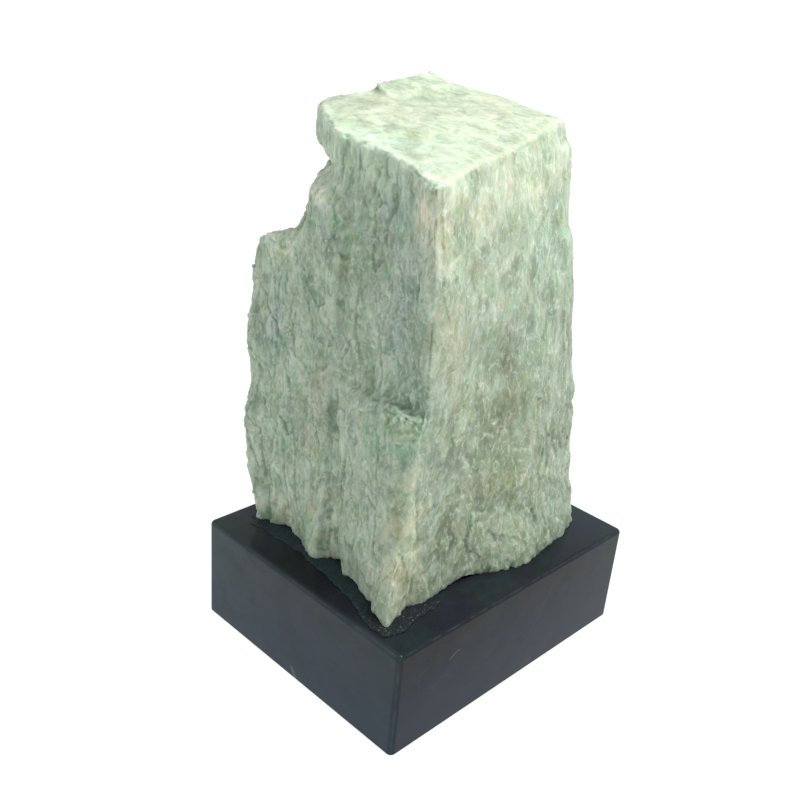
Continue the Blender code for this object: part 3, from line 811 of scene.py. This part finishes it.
stoneLayers = (
    {"by": "patches", "low": 0.6, "high": 0.38, "amount": 1.0, "colour": "#ced8cd", "blend": "MULTIPLY"},
    {"by": "greens", "low": 0.48, "high": 0.64, "amount": 0.8, "colour": "#dff0e3", "blend": "MULTIPLY"},
    {"by": "greens", "low": 0.46, "high": 0.32, "amount": 0.7, "colour": "#e3e8ec", "blend": "MULTIPLY"},
    {"by": "tans", "low": 0.52, "high": 0.66, "amount": 0.8, "colour": "#f2ead6", "blend": "MULTIPLY"},
    {"by": "tans", "low": 0.42, "high": 0.3, "amount": 0.6, "colour": "#c9d0c0", "blend": "MULTIPLY"},
    {"by": "greens", "low": 0.5, "high": 0.64, "amount": 0.4, "colour": "#d2e8de", "blend": "MULTIPLY",
     "within": "left"},
    {"by": "tans", "low": 0.44, "high": 0.32, "amount": 0.5, "colour": "#e0e6ee", "blend": "MULTIPLY",
     "within": "left"},
    {"by": "hues", "low": 0.58, "high": 0.7, "amount": 0.5, "colour": "#f2e6df", "blend": "MULTIPLY"},
    {"by": "hues", "low": 0.42, "high": 0.3, "amount": 0.4, "colour": "#d9e6de", "blend": "MULTIPLY"},
    {"by": "streaks", "low": 0.5, "high": 0.7, "amount": 0.25, "colour": "#bcc7b6"},
    {"by": "streaks", "low": 0.48, "high": 0.66, "amount": 0.3, "colour": "#bcc9b8", "within": "left"},
    {"by": "top", "low": 0.0, "high": 1.0, "amount": 0.25, "colour": "#929a8c"},
    {"by": "lines", "low": 0.42, "high": 0.3, "amount": 0.35, "colour": "#5e7668", "within": "left"},
    {"by": "fibres", "low": 0.42, "high": 0.28, "amount": 0.25, "colour": "#6c8377", "within": "left"},
    {"by": "specks", "low": 0.6, "high": 0.72, "amount": 0.35, "colour": "#ccd6c8", "within": "left"},
    # the dark flutes are painted shade in the gaps between the lobes
    {"by": "flutes", "low": 0.52, "high": 0.36, "amount": 1.0, "colour": "#6f8f79", "within": "hanging"},
    {"by": "flutes", "low": 0.54, "high": 0.66, "amount": 0.6, "colour": "#bfd3be", "within": "hanging"},
    {"by": "specks", "low": 0.4, "high": 0.29, "amount": 0.45, "colour": "#7f8975", "within": "right"},
    {"by": "specks", "low": 0.61, "high": 0.73, "amount": 0.35, "colour": "#dfe4d5", "within": "right"},
    {"by": "fibres", "low": 0.4, "high": 0.3, "amount": 0.4, "colour": "#7b8672", "within": "right"},
    # painted highlight: thin bright rims along the flake edges
    {"by": "rims", "low": 0.0, "high": 1.0, "amount": 0.4, "colour": "#d2d8c6", "within": "right"},
    {"by": "rims", "low": 0.0, "high": 1.0, "amount": 0.12, "colour": "#c3cdbd"},
    # painted light on rims and bulges, painted shade in hollows
    {"by": "cavity", "low": 0.0, "high": 1.0, "amount": 0.25, "colour": "#c6d0bf"},
    {"by": "cavity", "low": 0.0, "high": -1.0, "amount": 0.3, "colour": "#5b7060", "within": "left"},
    {"by": "cavity", "low": 0.0, "high": -1.0, "amount": 0.2, "colour": "#6d7c64"},
    {"by": "dell", "low": 0.1, "high": 1.0, "amount": 0.1, "colour": "#cfdacb"},
    {"by": "dell", "low": 0.0, "high": -1.0, "amount": 0.3, "colour": "#647c68"},
    {"by": "crownEdge", "low": 0.1, "high": 1.0, "amount": 0.65, "colour": "#b9cab5"},
    {"by": "rightEdge", "low": 0.0, "high": 1.0, "amount": 0.85, "colour": "#e5e5de", "blend": "MULTIPLY"},
)


def alongGrain(places):  # across the grain, along it, and up
    diagonal = 0.7071  # the grain stands at 45 degrees to the block's sides
    across = (places[:, 0] + places[:, 1]) * diagonal
    along = (places[:, 0] - places[:, 1]) * diagonal
    return np.stack([across, along, places[:, 2]], axis=1)


def patchShare(places, middle, reach):  # 1 in the middle of a patch, fading out over its reach
    away = (places - np.array(middle)) / np.array(reach)
    return np.exp(-(away ** 2).sum(axis=1))


def wander(places, size, reach):  # how far each place is bent aside
    patternStarts = (0.0, 170.0, 310.0)  # a pattern of its own for each of the three ways
    shifts = [noiseAt(places + np.array([start, 0.0, 0.0]), size) for start in patternStarts]
    return np.stack(shifts, axis=1) * reach


def brokenRelief(grain, flakes):  # how far each place stands out, from the flake that it is in
    spots = grain / np.array(flakes["size"]) + flakes["shift"]
    step, lean, dip, dome = (flakes[name] for name in ("step", "lean", "dip", "dome"))
    heights = []
    for spot in spots.tolist():
        distances, centres = noise.voronoi(spot)
        centre = centres[0]
        chance = noise.cell_vector(centre * crystal["chance"])
        rim = min(1.0, (distances[1] - distances[0]) / crystal["rimShare"])
        leaning = (chance[1] - 0.5) * (spot[0] - centre[0]) + (chance[2] - 0.5) * (spot[2] - centre[2])
        rise = step * (2.0 * chance[0] - 1.0) + lean * leaning
        heights.append(rise - dip * (1.0 - rim) ** 2 - dome * distances[0] ** 2)
    return np.array(heights)


def blockiness(places, normals):  # 1 where the stone breaks in blocks, 0 where it splits in flakes
    cloud = noiseAt(places, blockAreas["patch"])
    right = smoothStep(-normals[:, 1] + blockAreas["raggedFace"] * cloud, *blockAreas["rightFace"])
    high, low = blockAreas["heights"]
    below = smoothStep(-places[:, 2] + blockAreas["raggedHeight"] * cloud, -high, -low)
    far = smoothStep(normals[:, 0] + normals[:, 1], *blockAreas["farSides"])
    return np.maximum(right * below, smoothStep(cloud, *blockAreas["patches"]) * far)


def mended(stone, places):  # smooths the joints between the blocks
    smooth = smoothedPlaces(stone, crystal["mendPasses"])
    share = np.zeros(len(places))
    for middle, reach, amount in mends.values():
        near = crystal["mendSpread"] * patchShare(places, middle, reach)
        share = np.maximum(share, amount * smoothStep(near, crystal["mendEdge"], 1.0))
    return places + (smooth - places) * share[:, None]


def worn(stone, places, normals):  # the edges are worn back unevenly, and crumbly
    smooth = smoothedPlaces(stone, crystal["wearPasses"])
    sharpness = smoothStep(((places - smooth) * normals).sum(axis=1), *crystal["sharp"])
    wear = crystal["wear"] + crystal["wearVaries"] * noiseAt(places, crystal["wearPatch"], 2)
    share = sharpness * np.clip(wear, 0.0, crystal["wearMost"])
    share *= smoothStep(places[:, 2], *crystal["wearFrom"])
    ragged = sharpness * crystal["crumble"] * noiseAt(places, crystal["crumbleSize"], 2)
    return places + (smooth - places) * share[:, None] + normals * ragged[:, None]


def crumbs(places):
    grit = noiseAt(places, crystal["gritSize"], 2)
    height = np.full(len(places), crystal["grit"])
    for middle, reach, rough in crumbly.values():
        height = np.maximum(height, patchShare(places, middle, reach) * rough)
    return grit * height


def flakedRelief(places, normals, right, blocky, hanging):
    grain = alongGrain(places)
    grain = grain + sum(wander(grain, size, reach) for size, reach in crystal["bends"])
    upright = sum(brokenRelief(grain, kind) * (1.0 + (kind["right"] - 1.0) * right)
                  for kind in uprightFlakes)
    relief = upright + (sum(brokenRelief(grain, kind) for kind in blocks) - upright) * blocky
    relief *= 1.0 - crystal["topCalm"] * smoothStep(normals[:, 2], *crystal["flatTop"])
    relief *= 1.0 - crystal["lobeCalm"] * hanging
    far = smoothStep(np.maximum(normals[:, 0], normals[:, 1]), *crystal["farSides"])
    relief *= 1.0 + crystal["farRough"] * far
    for middle, reach, amount in calmPlaces.values():
        relief *= 1.0 - amount * patchShare(places, middle, reach)
    relief += sum(noiseAt(places, size) * reach for size, reach in crystal["swells"])
    relief += brokenRelief(grain, lobes["flakes"]) * hanging + crumbs(places)
    ragged = crystal["crackRagged"] + crystal["crackRagged"] * noiseAt(places, crystal["crackPatch"], 2)
    shifted = places + wander(places, *crystal["crackBend"])
    for line, width, depth in cracks.values():
        relief -= nearness(shifted, line, width) * depth * ragged
    return relief


def pulled(places):
    for middle, reach, shift in pulls.values():
        places = places + patchShare(places, middle, reach)[:, None] * np.array(shift)
    shifted = places + wander(places, *crystal["plateBend"])
    for middle, reach, (low, high), (lowFade, highFade), out in plates.values():
        share = patchShare(shifted[:, :2], middle, reach) * smoothStep(shifted[:, 2], low, low + lowFade)
        share *= smoothStep(-shifted[:, 2], -high, -high + highFade)
        places = places + share[:, None] * np.array(out + (0.0,))
    return places


def drawnDown(places):  # the foot reaches into the bed, here more and there less
    share = np.clip((crystal["footTop"] - places[:, 2]) / crystal["footFade"], 0.0, 1.0)
    flat = places * np.array([1.0, 1.0, 0.0])
    ragged = crystal["footRagged"] * noiseAt(flat, crystal["footPatch"], 3)
    places[:, 2] -= share * (crystal["footDrop"] + ragged)
    return places


def paintTints(mesh, places):  # lays one tint over the other, and keeps how strong they are in the alpha
    colour = np.zeros((len(places), 4))
    cloud = noiseAt(places, tintEdges["cloud"], 3)
    patchy = np.clip(1.0 + tintEdges["patchy"] * cloud, 0.0, tintEdges["most"])
    shifted = places
    for size, reach in tintEdges["bends"]:
        shifted = shifted + wander(places, size, reach)
    for middle, (wide, tall), hexColour, strength in tints.values():
        amount = tintEdges["spread"] * patchShare(shifted, middle, (wide, wide, tall)) * patchy
        amount = np.clip(amount, 0.0, 1.0)[:, None] * strength
        colour[:, :3] = colour[:, :3] * (1.0 - amount) + np.array(linear(hexColour)[:3]) * amount
        colour[:, 3:] = colour[:, 3:] * (1.0 - amount) + amount
    colour[:, :3] /= np.maximum(colour[:, 3:], 0.001)  # so bare places don't divide by zero
    attribute = mesh.attributes.new("tint", "FLOAT_COLOR", "POINT")
    attribute.data.foreach_set("color", colour.astype(np.float32).ravel())


# Potassium feldspar, broken along its cleavage: waxy pale green with white albite streaks
def roughAmazonite():
    material, tree = newMaterial("rough amazonite")
    place = addNode(tree, "TexCoord", {}).outputs["Object"]
    turn = (0.0, 0.0, radians(stoneSurface["grainTurn"]))
    grain = addNode(tree, "Mapping", {"Vector": place, "Rotation": turn}).outputs[0]
    bend = addNode(tree, "TexNoise", {
        "Vector": place, "Scale": 1 / (stoneSurface["grainBendPatch"] * mm), "Detail": 3.0,
    }).outputs["Color"]
    bent = addNode(tree, "VectorMath", {0: bend, 1: (stoneSurface["grainBend"] * mm,) * 3, 2: grain},
                   operation="MULTIPLY_ADD").outputs[0]
    signals = patternSignals(tree, bent, stonePatterns)
    for name in ("cavity", "dell", "top", "right", "left", "hanging", "crownEdge", "rightEdge"):
        signals[name] = addNode(tree, "Attribute", {}, attribute_name=name).outputs["Fac"]
    tint = addNode(tree, "Attribute", {}, attribute_name="tint")
    loose = addNode(tree, "Mapping", {"Vector": bent, "Scale": stoneSurface["flakeScale"]}).outputs[0]
    curl = addNode(tree, "TexNoise", {
        "Vector": place, "Scale": 1 / (stoneSurface["flakeCurlPatch"] * mm), "Detail": 3.0,
    }).outputs["Color"]
    curled = addNode(tree, "VectorMath", {0: curl, 1: (stoneSurface["flakeCurl"],) * 3, 2: loose},
                     operation="MULTIPLY_ADD").outputs[0]
    # thin rims along the flake edges, for a painted highlight and a little bump
    edges = addNode(tree, "TexVoronoi", {"Vector": curled, "Scale": 1.0}, feature="DISTANCE_TO_EDGE")
    thin = addNode(tree, "MapRange", {
        "Value": edges.outputs["Distance"], "From Max": stoneSurface["rimWidth"],
        "To Min": 1.0, "To Max": 0.0,
    }).outputs[0]
    low, high = stoneSurface["rimPlaces"]
    patchy = addNode(tree, "MapRange", {
        "Value": signals["streaks"], "From Min": low, "From Max": high,
    }).outputs[0]
    signals["rims"] = addNode(tree, "Math", {0: thin, 1: patchy}, operation="MULTIPLY").outputs[0]
    flakes = addNode(tree, "TexVoronoi", {"Vector": curled, "Scale": 1.0}).outputs["Color"]
    signals["flakes"] = addNode(tree, "SeparateColor", {"Color": flakes}).outputs[0]

    body = addNode(tree, "Mix", {
        0: tint.outputs["Alpha"], 6: linear(stoneSurface["green"]), 7: tint.outputs["Color"],
    }, data_type="RGBA").outputs[2]
    body = paintBody(tree, signals, body, stoneLayers)
    for name, low, high, change in stoneSurface["shades"]:
        shade = addNode(tree, "MapRange", {
            "Value": signals[name], "From Min": low, "From Max": high,
            "To Min": 1.0 - change, "To Max": 1.0 + change,
        })
        body = addNode(tree, "Mix", {0: 1.0, 6: body, 7: shade.outputs[0]}, data_type="RGBA",
                       blend_type="MULTIPLY").outputs[2]

    height = signals["specks"]
    for name, share in stoneSurface["bumpShares"]:
        height = addNode(tree, "Math", {0: signals[name], 1: share, 2: height},
                         operation="MULTIPLY_ADD").outputs[0]
    bump = addNode(tree, "Bump", {
        "Height": height, "Distance": stoneSurface["bumpHeight"] * mm, "Strength": 1.0,
    })
    low, high = stoneSurface["roughness"]
    gloss = addNode(tree, "MapRange", {
        "Value": signals["specks"], "From Min": 0.3, "From Max": 0.7, "To Min": low, "To Max": high,
    })
    shader = addNode(tree, "BsdfPrincipled", {
        "Base Color": body, "Roughness": gloss.outputs[0], "IOR": 1.53, "Normal": bump.outputs[0],
        "Subsurface Weight": 0.6, "Subsurface Radius": (1.0, 1.0, 0.9),
        "Subsurface Scale": stoneSurface["lightReach"] * mm,
    })
    return finishMaterial(material, shader)


def makeCrystal():
    stone = mergedCopy("amazonite_stone", "amazonite_crystal")
    addModifier(stone, "REMESH", mode="VOXEL", voxel_size=crystal["voxel"] * mm)
    addModifier(stone, "SMOOTH", factor=0.5, iterations=crystal["softening"])
    applyModifiers(stone)
    print("crystal: remeshed to", len(stone.data.vertices), "corners")
    writePlaces(stone.data, pulled(mended(stone, readPlaces(stone.data))))
    writePlaces(stone.data, worn(stone, readPlaces(stone.data), readNormals(stone.data)))
    print("crystal: joints mended and edges worn")
    places, normals = readPlaces(stone.data), readNormals(stone.data)
    ragged = faceLimits["ragged"] * noiseAt(places, faceLimits["patch"])
    right = smoothStep(-normals[:, 1] + normals[:, 0] + ragged, *faceLimits["right"])
    overhang = smoothStep(-normals[:, 0], *faceLimits["hanging"])
    hanging = nearness(places, lobes["line"], lobes["width"]) * overhang
    left = smoothStep(-normals[:, 0] + ragged, *faceLimits["left"]) * (1.0 - hanging)
    top = smoothStep(normals[:, 2], *faceLimits["top"])
    rimLine = np.array(lobes["line"]) + np.array([0.0, 0.0, lobes["rimRise"]])
    rim = nearness(places, rimLine, lobes["rimWidth"])
    blocky = blockiness(places, normals)
    places += normals * flakedRelief(places, normals, right, blocky, hanging)[:, None]
    writePlaces(stone.data, drawnDown(places))
    edge = nearness(places, rightEdge["line"], rightEdge["width"])
    shares = {
        "top": top, "right": right, "left": left, "hanging": hanging, "crownEdge": rim, "rightEdge": edge,
    }
    for name, values in shares.items():
        writeAttribute(stone.data, name, values)
    print("crystal: flaked")
    stone.data.calc_loop_triangles()
    addModifier(stone, "DECIMATE", ratio=crystal["triangles"] / len(stone.data.loop_triangles))
    applyModifiers(stone)
    places, normals = readPlaces(stone.data), readNormals(stone.data)
    # how far each place stands out or sinks in, for the painted light on rims and the painted shade in hollows
    for name in ("cavity", "dell"):
        height = ((places - smoothedPlaces(stone, crystal[name + "Passes"])) * normals).sum(axis=1)
        writeAttribute(stone.data, name, np.clip(height / crystal[name + "Depth"], -1.0, 1.0))
    paintTints(stone.data, places)
    stone.data.shade_smooth()
    stone.data.materials.append(roughAmazonite())
    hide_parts("amazonite_crystal")
    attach(stone, "root")
    print("crystal: done,", len(stone.data.polygons), "faces")


makeCamera()
makeStudio()
makeFloor()
makeMarble()
makeEpoxy()
makeCrystal()
